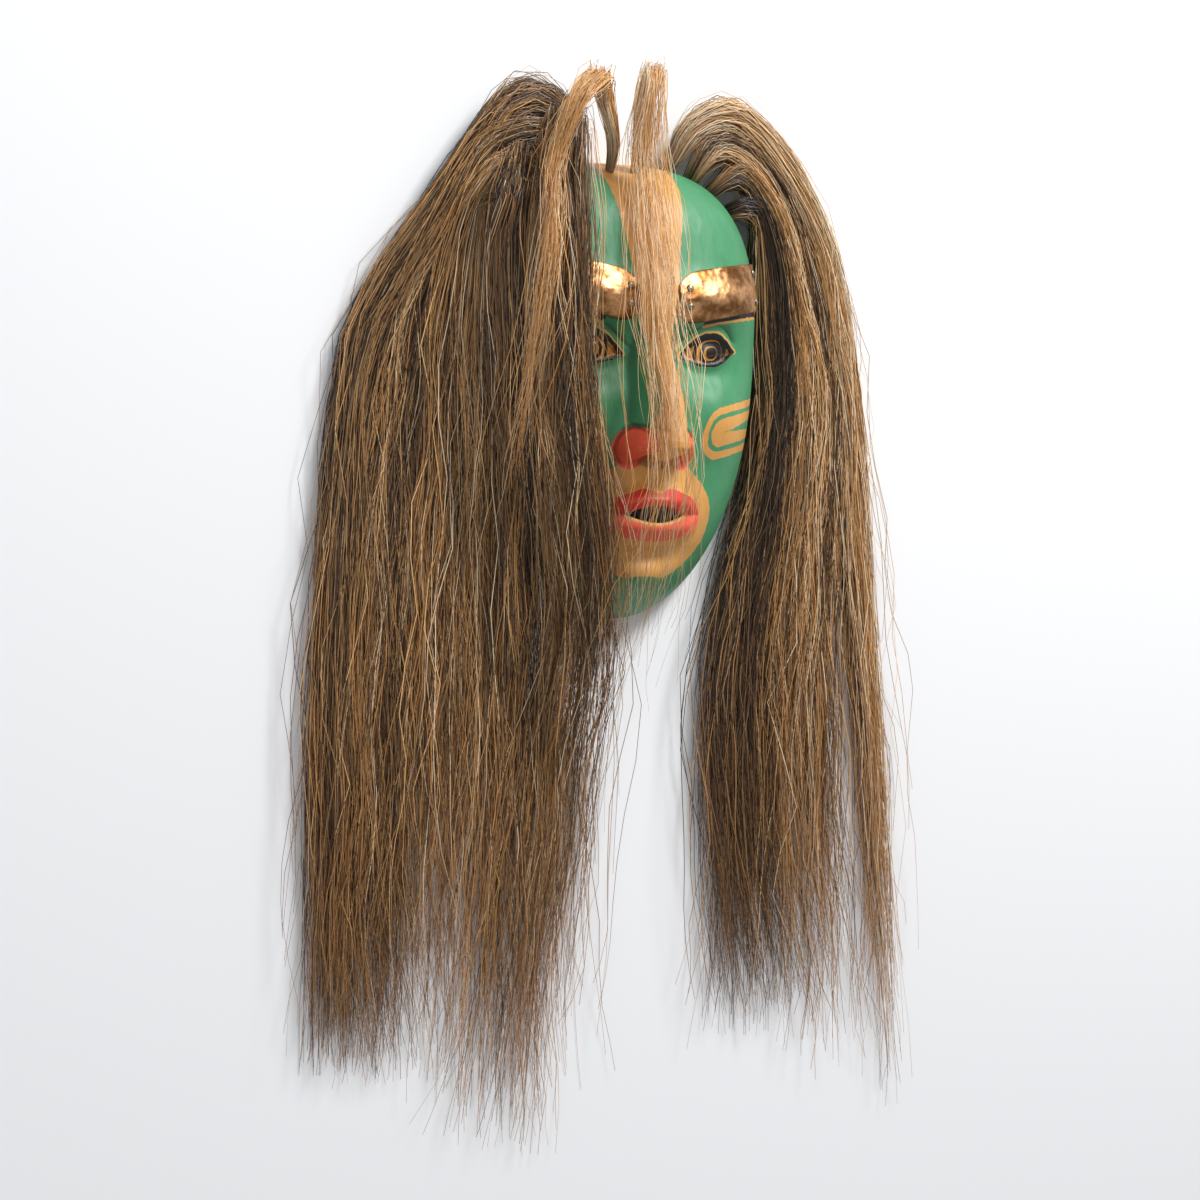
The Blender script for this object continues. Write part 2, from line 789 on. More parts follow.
@dataclass
class MaskBody:
    """The carved shell of the mask, pierced at the mouth, with its painted areas."""

    carving: Carving
    offset: Vector
    segments: int = 384
    outer_rings: int = 168
    inner_rings: int = 30
    outer_bend: float = 1.25
    inner_bend: float = 1.2
    pole: float = -25.0
    slot_half_share: float = 0.62
    slot_gape: float = 5.0
    gouge_width: float = 11.0
    gouge_length: float = 13.0
    gouge_depth: float = 0.7

    def shape(self) -> bpy.types.Object:
        """Presses a ball into a bowl: its upper rings become the face, the rest fold back as the hollow.

        Returns:
            The carved shell in millimetres.
        """
        rings = self.outer_rings + 1 + self.inner_rings
        deselect()
        bpy.ops.mesh.primitive_uv_sphere_add(segments=self.segments, ring_count=rings, radius=1)
        shell = bpy.context.object
        shell.data.uv_layers[0].name = "OFBake"
        ball = read_points(shell)
        ring = np.rint(np.arccos(np.clip(ball[:, 2], -1, 1)) / math.pi * rings)
        spread = np.maximum(np.hypot(ball[:, 0], ball[:, 1]), 1e-9)
        dx, dy = ball[:, 0] / spread, ball[:, 1] / spread
        outside = ring <= self.outer_rings
        part = np.where(outside, ring / self.outer_rings, (rings - ring) / self.inner_rings)
        bend = np.where(outside, self.outer_bend, self.inner_bend)
        share = np.sin(part * bend) / np.sin(bend)
        pole, wall = self.pole, self.carving.wall
        outer_reach = self.carving.rim_reach(dx, dy, pole, 0)
        reach = np.where(outside, outer_reach, self.carving.rim_reach(dx, dy, pole, wall))
        x = share * reach * dx
        y = pole + share * reach * dy
        face = self.carving.outer(x, y) + self.carving.detail(x, y)
        hollow = self.carving.inner(x, y) - self.gouge_depth * self.gouges(x, y)
        height = np.where(part > 0.9999, 0, np.where(outside, face, np.maximum(hollow, 0)))
        write_points(shell, np.stack([x, y, height], axis=1))
        return shell

    def gouges(self, x: np.ndarray, y: np.ndarray) -> np.ndarray:
        """Rows of shallow gouge cuts, 0 to 1, that the hollow is cleared with.

        Args:
            x: Places across.
            y: Places along.

        Returns:
            0 in the middle of a cut and 1 on the ridges.
        """
        row = y / self.gouge_width
        staggered = x + 5 * np.sin(np.floor(row) * 2.4)
        along = np.abs(np.sin(math.pi * staggered / self.gouge_length))
        return 1 - along * np.abs(np.sin(math.pi * (row + 0.1 * np.sin(x / 9))))

    def pierce(self, shell: bpy.types.Object) -> None:
        """Cuts the mouth through the wall with a lens-shaped cutter.

        Args:
            shell: The carved shell in millimetres.
        """
        deselect()
        bpy.ops.mesh.primitive_cylinder_add(vertices=64, radius=1, depth=1)
        cutter = bpy.context.object
        places = read_points(cutter)
        turn = np.arctan2(places[:, 1], places[:, 0])
        half = self.slot_half_share * self.carving.mouth_half
        across = half * np.cos(turn)
        along = self.carving.mouth + self.slot_gape * np.sign(np.sin(turn)) * np.sin(turn) ** 2
        write_points(cutter, np.stack([across, along, 80 + 120 * places[:, 2]], axis=1))
        apply_modifier(shell, "BOOLEAN", operation="DIFFERENCE", solver="EXACT", object=cutter)
        bpy.data.objects.remove(cutter)

    def paint_areas(self, shell: bpy.types.Object) -> None:
        """Keeps on each vertex its distance from the edge of every painted area, negative inside.

        Args:
            shell: The carved shell in millimetres.
        """
        x, y, z = read_points(shell).T
        side = np.abs(x)
        form = self.carving
        depth = form.outer(x, y) + form.detail(x, y) - z
        inside = (depth > 4) | ((z < 0.4) & (form.gauge(x, y) < 0.99))
        forehead = lerp(13.0, 24.0, smooth(form.brow - 4, form.crown, y))
        ridge = lerp(6.5, 13.0, smooth(form.brow - 24, form.brow - 4, y))
        tip = 5.5 * (1 - smooth(form.nose + 8, form.nose + 40, y))
        half = np.where(y > form.brow - 4, forehead, ridge + tip)
        store(shell, "stripe", np.maximum(side - half, form.nose - 4 - y))
        muzzle = np.hypot(x / 43, (y - form.mouth + 2) / 36)
        store(shell, "muzzle", np.maximum((muzzle - 1) * 38, y - form.nose - 6))
        chin = np.hypot(x / 24, (y + form.crown - 10) / 15)
        store(shell, "chin", (chin - 1) * 18)
        store(shell, "cheek", self.cheek_distance(side, y))
        wing = np.hypot((side - 16.5) / 10.5, (y - form.nose - 8) / 12)
        store(shell, "wing", np.maximum((wing - 1) * 10, 9.5 - side - 0.12 * (form.nose + 10 - y)))
        upper, lower = form.lip_distance(x, y)
        store(shell, "upper_lip", upper)
        store(shell, "lower_lip", lower)
        slot = self.slot_half_share * form.mouth_half
        gape = self.slot_gape * np.maximum(0, 1 - (x / slot) ** 2)
        lip_line = np.where(y < form.mouth, form.mouth - y - gape, 9.0)
        store(shell, "lip_line", np.where(side < slot + 1, lip_line, 9.0))
        lid = form.lid_distance(x, y)
        outwards, up = form.eye_place(x, y)
        store(shell, "lid", lid)
        store(shell, "upper_lid", np.where(up > -1.5, lid + 0.25 * np.maximum(0, -outwards - 8), 30.0))
        store(shell, "eye_out", outwards)
        store(shell, "eye_up", up)
        store(shell, "brow_line", BrowPlates(form, self.offset).edge_below(side, y))
        reach = 3.0
        around = sum(form.outer(x + reach * i, y + reach * j) + form.detail(x + reach * i, y + reach * j)
                     for i, j in ((1, 0), (-1, 0), (0, 1), (0, -1)))
        inwards = 1 - smooth(0.84, 0.94, form.gauge(x, y))
        store(shell, "hollow", np.where(inside, 0, around / 4 - z) * inwards)
        store(shell, "edge", np.where(inside, 0, smooth(0.985, 1.0, form.gauge(x, y))))
        store(shell, "bare", inside.astype(float))

    def cheek_distance(self, side: np.ndarray, y: np.ndarray) -> np.ndarray:
        """Distance from a split U on the cheek, its round end towards the nose.

        Args:
            side: Distances from the middle line.
            y: Places along.

        Returns:
            Negative inside.
        """
        lean = y - self.carving.nose - 20 - 0.25 * (side - 50)
        from_end = np.maximum(44 - side, 0)
        body = np.hypot(from_end / 12, lean / 15) - 1
        outline = body * 12
        gap = np.abs(np.hypot(from_end / 7.5, lean / 9.5) - 1) * 9 - 1.3
        split = np.maximum(np.abs(lean) - 0.10 * (side - 46), 46 - side)
        return np.maximum.reduce([outline, -gap, -split, side - 84])

    def build(self) -> bpy.types.Object:
        """Makes the mask and dresses it.

        Returns:
            The finished piece.
        """
        shell = self.shape()
        self.pierce(shell)
        self.paint_areas(shell)
        write_points(shell, read_points(shell) * MILLIMETRE + np.array(self.offset))
        smooth_shade(shell, 45)
        shell.name = "carved_mask"
        shell.data.materials.clear()
        shell.data.materials.append(MaskPaint().material())
        return shell


@dataclass
class BrowPlates:
    """Two beaten copper sheets over the brows, each held by four dome-headed nails."""

    carving: Carving
    offset: Vector
    inner_end: float = 13.0
    outer_end: float = 75.0
    half_height: float = 14.5
    thick: float = 1.0
    rise: float = 0.2
    gap: float = 1.0
    nail_radius: float = 2.2
    nail_height: float = 1.2
    nail_places: tuple = ((0.1, 0.38), (0.1, -0.38), (0.94, 0.6), (0.94, -0.6))
    dent_pitch: float = 5.2
    dent_drift: float = 1.6
    seed: int = 11

    def outline(self, along: np.ndarray) -> tuple[np.ndarray, np.ndarray, np.ndarray]:
        """Middle line and half height of a plate from the nose end 0 to the temple end 1.

        Args:
            along: Shares of the plate's length.

        Returns:
            X and Y of the middle line, and the half height.
        """
        side = lerp(self.inner_end, self.outer_end, along)
        round_end = np.sqrt(1 - (1 - np.minimum(along / 0.22, 1)) ** 2)
        half = self.half_height * (0.4 + 0.6 * round_end)
        return side, self.carving.brow + 4 + self.rise * (side - self.inner_end), half

    def edge_below(self, side: np.ndarray, y: np.ndarray) -> np.ndarray:
        """Distance below the lower edge of a plate, and large past its ends.

        Args:
            side: Distances from the middle line.
            y: Places along.

        Returns:
            Positive below the plate.
        """
        along = (side - self.inner_end) / (self.outer_end - self.inner_end)
        _, middle, half = self.outline(np.clip(along, 0, 1))
        ends = (along < 0.3) | (along > 1.04) | (y > middle)
        return np.where(ends, 40.0, middle - half - y - 0.4)

    def points(self, hand: int, along: np.ndarray, across: np.ndarray, lift: np.ndarray) -> np.ndarray:
        """Places over the brow.

        Args:
            hand: -1 for the viewer's left and 1 for the right.
            along: From the nose end 0 to the temple end 1.
            across: From the lower edge -1 to the upper edge 1.
            lift: Height off the wood.

        Returns:
            Rows of places in millimetres.
        """
        side, middle, half = self.outline(along)
        x = hand * side
        y = middle + half * across
        foot = np.stack([x, y, self.carving.outer(x, y)], axis=-1)
        return foot + self.carving.normal(x, y) * np.asarray(lift)[..., None]

    def plate(self, side: Side, finish: bpy.types.Material) -> bpy.types.Object:
        """Beats one sheet over the brow.

        Args:
            side: Half of the face that it lies on.
            finish: Its material.

        Returns:
            The finished plate.
        """
        deselect()
        bpy.ops.mesh.primitive_grid_add(x_subdivisions=84, y_subdivisions=38, size=2)
        sheet = bpy.context.object
        flat = read_points(sheet)
        along = (side.value * flat[:, 0] + 1) / 2
        across = flat[:, 1]
        dents = self.dents(along, across, side)
        curl = -0.35 * smooth(0.9, 1.0, np.abs(across))
        lift = self.gap + self.thick + dents + curl
        places = self.points(side.value, along, across, lift)
        write_points(sheet, places * MILLIMETRE + np.array(self.offset))
        rim = np.maximum(smooth(0.93, 1.0, np.abs(across)), smooth(0.965, 1.0, np.abs(2 * along - 1)))
        store(sheet, "edge", rim)
        apply_modifier(sheet, "SOLIDIFY", thickness=self.thick * MILLIMETRE, offset=-1.0)
        apply_modifier(sheet, "BEVEL", width=0.25 * MILLIMETRE, segments=2, limit_method="ANGLE",
                       angle_limit=math.radians(50))
        smooth_shade(sheet, 50)
        sheet.name = f"copper_plate_{side.name.lower()}"
        sheet.data.materials.append(finish)
        return sheet

    def dents(self, along: np.ndarray, across: np.ndarray, side: Side) -> np.ndarray:
        """Depth of hammer dents: shallow dishes that meet in soft ridges.

        Args:
            along: Shares of the plate's length.
            across: From the lower edge -1 to the upper edge 1.
            side: Half of the face, which gives each plate dents of its own.

        Returns:
            Height off the flat sheet.
        """
        rng = np.random.default_rng(self.seed + side.value)
        length, height = self.outer_end - self.inner_end, 2 * self.half_height
        u, v = along * length, (across + 1) / 2 * height
        pitch, drift = self.dent_pitch, self.dent_drift
        middles = [(pitch * i + rng.uniform(-drift, drift), pitch * j + rng.uniform(-drift, drift))
                   for i in range(int(length / pitch) + 2) for j in range(int(height / pitch) + 2)]
        nearest = np.full_like(u, 99.0)
        for middle_u, middle_v in middles:
            nearest = np.minimum(nearest, (u - middle_u) ** 2 + (v - middle_v) ** 2)
        return 0.024 * np.minimum(nearest, 16.0) - 0.16

    def nail(self) -> bpy.types.Object:
        """Turns one nail head, a low dome with a flat underside, pointing up at the origin.

        Returns:
            The pattern that every nail is copied from.
        """
        deselect()
        bpy.ops.mesh.primitive_uv_sphere_add(segments=28, ring_count=20, radius=1)
        head = bpy.context.object
        bpy.ops.object.mode_set(mode="EDIT")
        bpy.ops.mesh.select_all(action="SELECT")
        bpy.ops.mesh.bisect(plane_co=(0, 0, -0.02), plane_no=(0, 0, 1), clear_inner=True, use_fill=True)
        bpy.ops.object.mode_set(mode="OBJECT")
        places = read_points(head)
        ripple = 1 + 0.03 * np.sin(5 * np.arctan2(places[:, 1], places[:, 0]))
        places[:, 0] *= self.nail_radius * ripple
        places[:, 1] *= self.nail_radius * ripple
        places[:, 2] *= self.nail_height
        write_points(head, places)
        store(head, "edge", 1 - smooth(0.0, 0.3, places[:, 2]))
        return head

    def build(self) -> list[tuple[bpy.types.Object, str, str]]:
        """Makes the plates and the nails.

        Returns:
            Each piece with the node that it replaces and its material slot.
        """
        copper = HammeredCopper().material()
        brass = DullBrass().material()
        pattern = self.nail()
        made = []
        for side in Side:
            hand = side.name.lower()
            made.append((self.plate(side, copper), f"brow_plate_{hand}", "copper"))
            for number, (along, across) in enumerate(self.nail_places, 1):
                head = pattern.copy()
                head.data = pattern.data.copy()
                bpy.context.collection.objects.link(head)
                seat = self.points(side.value, np.array([along]), np.array([across]), np.array([0.0]))[0]
                outward = self.carving.normal(np.array([seat[0]]), np.array([seat[1]]))[0]
                seat = seat + outward * (self.gap + self.thick + 0.05)
                turn = np.array(Vector((0, 0, 1)).rotation_difference(Vector(outward)).to_matrix())
                places = read_points(head) @ turn.T + seat
                write_points(head, places * MILLIMETRE + np.array(self.offset))
                smooth_shade(head, 50)
                head.name = f"dome_nail_{hand}_{number}"
                head.data.materials.append(brass)
                made.append((head, f"nail_{hand}_{number}", "nail_metal"))
        bpy.data.objects.remove(pattern)
        return made


@dataclass(frozen=True)
class Lock:
    """One bundle of hair: where it leaves the wood, how it arches and hangs, and its look."""

    name: str
    fall: Fall
    root: float
    crest: tuple[float, float]
    reach: float
    hang: float
    tip: tuple[float, float]
    half: float
    hang_half: float
    thick: float
    strands: int
    tone: float
    tone_out: float = 0.0
    lift: float = 0.0
    over: float = 0.0
    short: float = 0.5
    ending: float = 1.7
    fan: float = 6.0
    fuller: float = 1.08
    gather: float = 0.4
    fine: float = 1.0
    stubs: float = 0.0
    parted: float = 0.0
    pile: float = 0.0
    outer_keep: float = 1.0
    loft: float = 5.0
    tuck: float = 0.0
    varied: float = 1.0
    wander: float = 1.0

    @property
    def outer_side(self) -> int:
        """1 where the direction across the lock points away from the face, and -1 where it points in."""
        return 1 if self.fall is Fall.FORWARD or self.tip[0] > 0 else -1


LOCKS = (
    Lock("left_1", Fall.ASIDE, 102, (-53, 169), -165.5, -177.5, (-180, -380), 12.5, 14.5, 6, 600, 0.22, 0.0,
         fuller=0.98, outer_keep=0.3, short=0.36, ending=2.2, tuck=22),
    Lock("left_2", Fall.ASIDE, 111, (-63, 147), -138, -147, (-153, -388), 12, 14.5, 6, 570, 0.36, short=0.42,
         ending=1.9, tuck=12),
    Lock("left_3", Fall.ASIDE, 128, (-78, 127), -113.5, -117, (-126.5, -398), 11.5, 14.5, 6, 570, 0.46,
         pile=10, short=0.54, ending=0.72),
    Lock("left_4", Fall.ASIDE, 140, (-85, 109), -95, -87, (-101, -428), 6, 14.5, 6, 580, 0.47, short=0.6,
         ending=0.8, pile=26),
    Lock("left_5", Fall.FORWARD, 143, (-78, 126), -78, -57.5, (-76, -440), 14, 13.5, 4, 470, 0.48, lift=22,
         short=0.6, ending=1.8, fan=8.0, fuller=1.2, loft=22.0),
    Lock("left_6", Fall.FORWARD, 118, (-56, 152), -54, -28, (-49.5, -404), 11, 13, 4, 400, 0.53, lift=30,
         short=0.72, ending=1.1, fan=9.0, fuller=1.15, loft=12.0, wander=1.5),
    Lock("gold", Fall.FORWARD, 96, (-36, 172), -82, -86, (-84, -85), 6, 4.5, 2.5, 170, 0.86, lift=44, over=28,
         short=0.75, ending=0.9, fan=3.0, fuller=0.75, gather=0.7, loft=6.0, varied=0.35, wander=0.6),
    Lock("middle", Fall.FORWARD, 90, (-3, 183), -9, -11, (-12, -180), 13, 12, 3, 200, 0.9, lift=34,
         short=0.8, fan=-1.0, fuller=1.2, gather=0.1, fine=0.8, stubs=0.34, loft=4.0, varied=0.5),
    Lock("right_1", Fall.ASIDE, 79, (64, 168), 159, 168, (185, -430), 8.5, 15, 7, 600, 0.72, 0.16,
         fan=5.0, fuller=0.95, parted=0.5, outer_keep=0.3, short=0.6, ending=0.8, wander=0.5),
    Lock("right_2", Fall.ASIDE, 68, (66, 149), 140, 134, (146, -408), 8.5, 14, 7, 570, 0.5, 0.06,
         ending=0.85),
    Lock("right_3", Fall.ASIDE, 57, (76, 131), 121.5, 104, (117, -392), 8.5, 15, 7, 570, 0.32, ending=1.0),
    Lock("right_4", Fall.ASIDE, 45, (85.5, 110), 103, 77, (91, -378), 8.5, 15, 7, 560, 0.12, pile=12),
)


def curve_points(knots: np.ndarray, count: int) -> np.ndarray:
    """Evenly spaced points along a smooth curve through knots.

    Args:
        knots: Rows of places that the curve passes through.
        count: How many steps to divide it into.

    Returns:
        Rows of count + 1 places.
    """
    ends = np.vstack([2 * knots[0] - knots[1], knots, 2 * knots[-1] - knots[-2]])
    spot = np.linspace(0, len(knots) - 1, 401)
    first = np.minimum(spot.astype(int), len(knots) - 2)
    weight = (spot - first)[:, None]
    p0, p1, p2, p3 = (ends[first + k] for k in range(4))
    gaps = [np.sqrt(np.linalg.norm(b - a, axis=1, keepdims=True)) for a, b in ((p0, p1), (p1, p2), (p2, p3))]
    d0, d1, d2 = gaps
    start = ((p1 - p0) / d0 - (p2 - p0) / (d0 + d1) + (p2 - p1) / d1) * d1
    end = ((p2 - p1) / d1 - (p3 - p1) / (d1 + d2) + (p3 - p2) / d2) * d1
    cubic = 2 * p1 - 2 * p2 + start + end
    square = -3 * p1 + 3 * p2 - 2 * start - end
    dense = p1 + weight * (start + weight * (square + weight * cubic))
    run = np.concatenate([[0], np.cumsum(np.linalg.norm(np.diff(dense, axis=0), axis=1))])
    wanted = np.linspace(0, run[-1], count + 1)
    return np.stack([np.interp(wanted, run, dense[:, axis]) for axis in range(3)], axis=1)


@dataclass
class HairFringe:
    """Locks of horsehair set round the top edge, each a bundle of separate strands."""

    carving: Carving
    offset: Vector
    root_half: float = 4.5
    root_thick: float = 4.0
    root_gap: float = -2.5
    back_row: float = 20.0
    front_row: float = 34.0
    spread: float = 200.0
    clear: float = 0.6
    clear_face: float = 5.0
    slope: float = 0.42
    steps: int = 22
    lying: float = 4.0
    nodes: int = 21
    bands: int = 64
    seed: int = 5
    arch: float = 80.0
    room: float = 197.0
    room_eased: float = 15.0
    over_wood: float = 0.7
    over_ground: float = 0.5
    path_steps: int = 176
    fewest_clumps: int = 12
    clump_strands: int = 14
    scatter: float = 0.19
    stray_share: float = 0.09
    stray_rise: float = 9.0
    broken_share: float = 0.05
    bright_share: float = 0.18
    streak: float = 0.24
    radii: tuple[float, float] = (0.15, 0.28)
    tip_taper: float = 0.5

    def seat(self, degrees: float, height: float) -> tuple[np.ndarray, np.ndarray]:
        """Where a bundle enters the wood.

        Args:
            degrees: Turn round the top edge from the viewer's right.
            height: Height above the back rim.

        Returns:
            The place and the outward direction there.
        """
        turn = math.radians(degrees)
        form = self.carving
        power = 2 / form.crown_power
        rim_x = form.half * math.copysign(abs(math.cos(turn)) ** power, math.cos(turn))
        rim_up = (form.crown - form.widest) * math.sin(turn) ** power
        inner, outer = 0.7, 1.0
        for _ in range(30):
            middle = (inner + outer) / 2
            high = form.outer(np.array(middle * rim_x), np.array(form.widest + middle * rim_up)) > height
            inner, outer = (middle, outer) if high else (inner, middle)
        x, y = inner * rim_x, form.widest + inner * rim_up
        return np.array([x, y, height]), form.normal(np.array(x), np.array(y))

    def route(self, lock: Lock) -> np.ndarray:
        """Knots of a lock: out of the top edge, over its crest, round to its side and down to the tip.

        Args:
            lock: The bundle.

        Returns:
            Rows of places from root to tip.
        """
        forward = lock.fall is Fall.FORWARD
        foot, outward = self.seat(lock.root, self.front_row if forward else self.back_row)
        crest_x, crest_y = lock.crest
        knots = [foot + outward * self.root_gap, foot + outward * 12.5]
        knots.append(np.array([crest_x, crest_y, foot[2] + (0.6 * lock.lift if forward else 4)]))
        for i, degrees in enumerate((20, 38) if forward else (32, 62)):
            turn = math.radians(degrees)
            x = crest_x + (lock.reach - crest_x) * math.sin(turn) ** 1.1
            y = crest_y - (5, 22)[i] if forward else crest_y * math.cos(turn) ** 1.2
            z = foot[2] + lock.lift if forward else foot[2] * (0.9 - 0.4 * i)
            knots.append(np.array([x, y, z]))
        knots.append(np.array([lock.reach, 0.0, self.lying]))
        knots.append(np.array([lock.hang, max(-self.carving.crown - 50, lock.tip[1] / 2), self.lying]))
        knots.append(np.array([lock.tip[0], lock.tip[1], self.lying]))
        return np.array(knots)

    def rest_height(self, x: np.ndarray, y: np.ndarray) -> np.ndarray:
        """Height of the face or the ground under a place."""
        return np.where(self.carving.gauge(x, y) < 1, np.maximum(0, self.carving.outer(x, y)), 0)

    def stations(self, lock: Lock) -> dict[str, np.ndarray]:
        """Sections of a lock laid on the face or the ground.

        Args:
            lock: The bundle.

        Returns:
            Middle, half width, half thickness, across and outward directions, and length so far.
        """
        forward = lock.fall is Fall.FORWARD
        points = curve_points(self.route(lock), self.steps)
        pace = np.linalg.norm(np.diff(points, axis=0), axis=1).mean()
        travelled = pace * np.arange(self.steps + 1)
        opened = smooth(0, self.spread, travelled)
        below = 1 - smooth(-self.carving.crown - 50, -20, points[:, 1])
        half = lerp(self.root_half, lerp(lock.half, lock.hang_half, below), opened)
        thick = lerp(self.root_thick, lock.thick, opened)
        left = self.rest_height(points[:, 0] - half, points[:, 1])
        right = self.rest_height(points[:, 0] + half, points[:, 1])
        past = np.arange(self.steps + 1) >= int(np.argmax(points[:, 1]))
        tilt = np.where(past & forward, np.clip((right - left) / (2 * half), -0.8, 0.8), 0)
        clear = self.clear_face if forward else self.clear
        under = np.zeros(self.steps + 1)
        if forward:
            for i in range(-2, 3):
                for j in range(-2, 3):
                    shift = i * half / 2
                    ground = self.rest_height(points[:, 0] + shift, points[:, 1] + j * pace / 2)
                    under = np.maximum(under, ground - tilt * shift)
        raised = np.where(past, under + clear + lock.over, 0) + thick
        points[:, 2] = np.maximum(points[:, 2], raised)
        for order in (range(1, self.steps + 1), range(self.steps - 1, 0, -1)):
            for i in order:
                other = i - 1 if order.step > 0 else i + 1
                if past[i] and past[other]:
                    run = math.hypot(*(points[i, :2] - points[other, :2]))
                    points[i, 2] = max(points[i, 2], points[other, 2] - self.slope * run)
        ahead = points[np.minimum(np.arange(self.steps + 1) + 1, self.steps)]
        behind = points[np.maximum(np.arange(self.steps + 1) - 1, 0)]
        along = (ahead - behind) / np.linalg.norm(ahead - behind, axis=1, keepdims=True)
        if forward:
            across = np.stack([-np.ones_like(tilt), np.zeros_like(tilt), -tilt], axis=1)
        else:
            across = np.cross(np.array([0.0, 0.0, 1.0]), along)
        across -= along * np.sum(across * along, axis=1, keepdims=True)
        across /= np.linalg.norm(across, axis=1, keepdims=True)
        return {"middle": points, "half": half, "thick": thick, "across": across,
                "outward": np.cross(along, across), "travelled": travelled}

    def strand_paths(self, lock: Lock, rng: np.random.Generator) -> tuple[np.ndarray, np.ndarray, np.ndarray]:
        """Paths of the strands of a lock.

        Args:
            lock: The bundle.
            rng: Source of chance.

        Returns:
            Places by strand and node, directions across, and the tone of each strand.
        """
        lay = self.stations(lock)
        count = lock.strands
        length = lay["travelled"][-1]
        clumps = max(self.fewest_clumps, count // self.clump_strands)
        owner = rng.integers(0, clumps, count)
        turn = rng.uniform(0, 2 * math.pi, clumps)
        out = np.sqrt(rng.uniform(0, 1, clumps))
        clump_a, clump_b = out * np.cos(turn), out * np.sin(turn)
        outwards = (clump_a * lock.outer_side)[owner]
        ends = self.strand_ends(lock, owner, clumps, rng)
        share = self.node_shares(count, rng) * ends[:, None]
        reach = share * length
        low = smooth(0.3, 0.7, reach / length)
        a, b = self.section_places(lock, owner, (clump_a, clump_b), share, low, rng)
        waist = lerp(0.55, 1.0, smooth(0, 22, reach))
        fanned = lock.fan * np.exp(-(((reach - self.arch) / 60) ** 2))
        fanned = fanned * (1 - (1 - lock.outer_keep) * np.clip(outwards, 0, 1))[:, None]
        half = (np.interp(reach, lay["travelled"], lay["half"]) * lock.fuller + fanned) * waist
        thick = np.interp(reach, lay["travelled"], lay["thick"]) * waist
        span = np.linspace(0, length, self.path_steps + 1)
        knots = curve_points(lay["middle"], self.path_steps)

        def follow(rows: np.ndarray, marks: np.ndarray) -> np.ndarray:
            """Rows interpolated at each strand's nodes."""
            return np.stack([np.interp(reach, marks, rows[:, axis]) for axis in range(3)], axis=2)

        middle = follow(knots, span)
        middle[..., 0] += lock.tuck * np.exp(-(((middle[..., 1] - 112) / 62) ** 2)) * smooth(50, 120, reach)
        middle[..., 1] -= np.maximum(reach - length, 0)
        across = follow(lay["across"], lay["travelled"])
        outward = follow(lay["outward"], lay["travelled"])
        swing = self.clump_swing(owner, clumps, reach, rng) * smooth(0.06, 0.35, share)
        stray = rng.uniform(0, 1, count) < self.stray_share
        side_shift, rise_shift = self.loose_shift(stray, reach, share, rng)
        shift = swing + side_shift
        held = (shift * lock.outer_side > 0) & ~stray[:, None]
        shift = np.where(held, shift * lock.outer_keep, shift)
        places = middle + across * (a * half + shift)[..., None]
        places += outward * (b * thick + rise_shift)[..., None]
        piled = rng.uniform(0, 1, count)[:, None] * np.exp(-(((places[..., 1] - 5) / 90) ** 4))
        places[..., 2] += lock.pile * piled
        streak = rng.normal(0, self.streak, clumps)[owner] + 0.12 * clump_b[owner]
        risen = lock.loft * rng.uniform(-0.4, 1, count)
        risen += np.where(stray, rng.uniform(0, self.stray_rise, count), 0)
        places[..., 1] += risen[:, None] * np.exp(-(((reach - 55) / 45) ** 2))
        bright = np.where(rng.uniform(0, 1, count) < self.bright_share, rng.uniform(0.1, 0.38, count), 0)
        mixed = streak + rng.normal(0, 0.12, count) + bright + 0.05 * b[:, 0]
        tone = lock.tone + lock.tone_out * outwards + lock.varied * mixed
        return self.kept_clear(places, share, lock), across, np.clip(tone, 0.02, 0.98)

    def section_places(self, lock: Lock, owner: np.ndarray, clump_places: tuple[np.ndarray, np.ndarray],
                       share: np.ndarray, low: np.ndarray,
                       rng: np.random.Generator) -> tuple[np.ndarray, np.ndarray]:
        """Where the strands run in the lock's cross-section, from -1 to 1 across it and through it.

        Args:
            lock: The bundle.
            owner: Clump that each strand belongs to.
            clump_places: Places of the clumps across the lock and through it.
            share: Share of the strand's length at each node.
            low: 0 in the upper part of the lock and 1 in its lower part.
            rng: Source of chance.

        Returns:
            Places across the lock and through it, by strand and node.
        """
        clump_a, clump_b = clump_places
        count, clumps = len(owner), len(clump_a)
        outer_side = lock.outer_side
        close = 1 - lock.gather * smooth(0.2, 0.95, share)
        a = clump_a[owner][:, None] + rng.normal(0, self.scatter, count)[:, None] * close
        a += (outer_side - a) * lock.parted * low
        a += lock.wander * rng.normal(0, 0.22, clumps)[owner][:, None] * smooth(0.1, 0.9, share)
        a += lock.wander * rng.normal(0, 0.3, count)[:, None] * smooth(0.05, 1.0, share)
        turns = share * rng.uniform(0.8, 2.4, count)[:, None] + rng.uniform(0, 2, count)[:, None]
        swerve = lock.wander * rng.normal(0, 0.24, count)[:, None]
        a += swerve * np.sin(math.pi * turns) * smooth(0.1, 0.45, share)
        past = np.maximum(a * outer_side - 0.95, 0)
        a -= outer_side * past * (1 - lock.outer_keep)
        b = 1.15 * clump_b[owner][:, None] + rng.normal(0, 0.3, count)[:, None] * close
        return a, b

